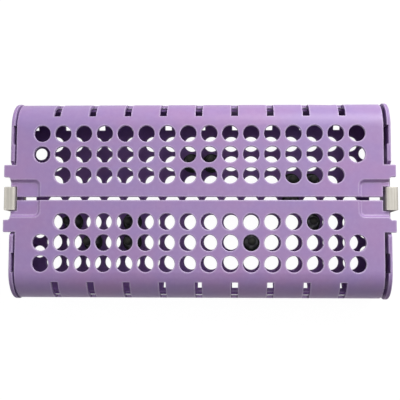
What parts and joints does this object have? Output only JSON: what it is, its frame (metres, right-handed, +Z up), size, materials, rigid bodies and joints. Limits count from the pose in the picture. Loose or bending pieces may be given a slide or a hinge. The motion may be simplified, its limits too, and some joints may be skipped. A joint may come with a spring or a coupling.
{
  "type": "instrument organizer",
  "caption": "Perforated sterilization cassette for hand instruments: a tray between end plates under two covers that hinge outwards, with bent strip latches and finger pegs.",
  "frame": {"origin": "under the middle of the cassette, on the surface that the end plates stand on", "axes": "+X along the cassette, +Y towards the rear cover, +Z up through the covers"},
  "size_m": [0.2062, 0.1054, 0.03],
  "materials": {
    "resin_covers": "moulded autoclavable resin, lavender, fine satin",
    "resin_ends": "moulded autoclavable resin, lavender, fine satin",
    "resin_tray": "moulded autoclavable resin, lavender, fine satin",
    "latch_metal": "bead-blasted stainless strip with faint rolling lines",
    "steel_pins": "turned stainless steel",
    "silicone": "soft silicone rubber, dark grey-green"
  },
  "bodies": {
    "base": {"base_tray": "resin_tray", "left_end_plate": "resin_ends", "right_end_plate": "resin_ends", "rear_right_hinge_pin": "steel_pins", "rear_left_hinge_pin": "steel_pins", "front_right_hinge_pin": "steel_pins", "front_left_hinge_pin": "steel_pins", "left_latch_pin": "steel_pins", "right_latch_pin": "steel_pins", "left_plate_rivets": "steel_pins", "right_plate_rivets": "steel_pins", "peg_01": "silicone", "peg_02": "silicone", "peg_03": "silicone", "peg_04": "silicone", "peg_05": "silicone", "peg_06": "silicone", "peg_07": "silicone", "peg_08": "silicone", "peg_09": "silicone", "peg_10": "silicone", "peg_11": "silicone"},
    "rear_lid": {"rear_cover": "resin_covers"},
    "front_lid": {"front_cover": "resin_covers"},
    "left_clip": {"left_latch": "latch_metal"},
    "right_clip": {"right_latch": "latch_metal"}
  },
  "joints": [
    {"name": "rear_cover_hinge", "type": "hinge", "parent": "base", "child": "rear_lid", "pos_m": [0, 0.03775, 0.015], "axis": [-1, 0, 0], "range_deg": [0, 94]},
    {"name": "front_cover_hinge", "type": "hinge", "parent": "base", "child": "front_lid", "pos_m": [0, -0.03775, 0.015], "axis": [1, 0, 0], "range_deg": [0, 94]},
    {"name": "left_latch_hinge", "type": "hinge", "parent": "base", "child": "left_clip", "pos_m": [-0.10095, 0, 0.0045], "axis": [0, -1, 0], "range_deg": [0, 75]},
    {"name": "right_latch_hinge", "type": "hinge", "parent": "base", "child": "right_clip", "pos_m": [0.10095, 0, 0.0045], "axis": [0, 1, 0], "range_deg": [0, 75]}
  ]
}
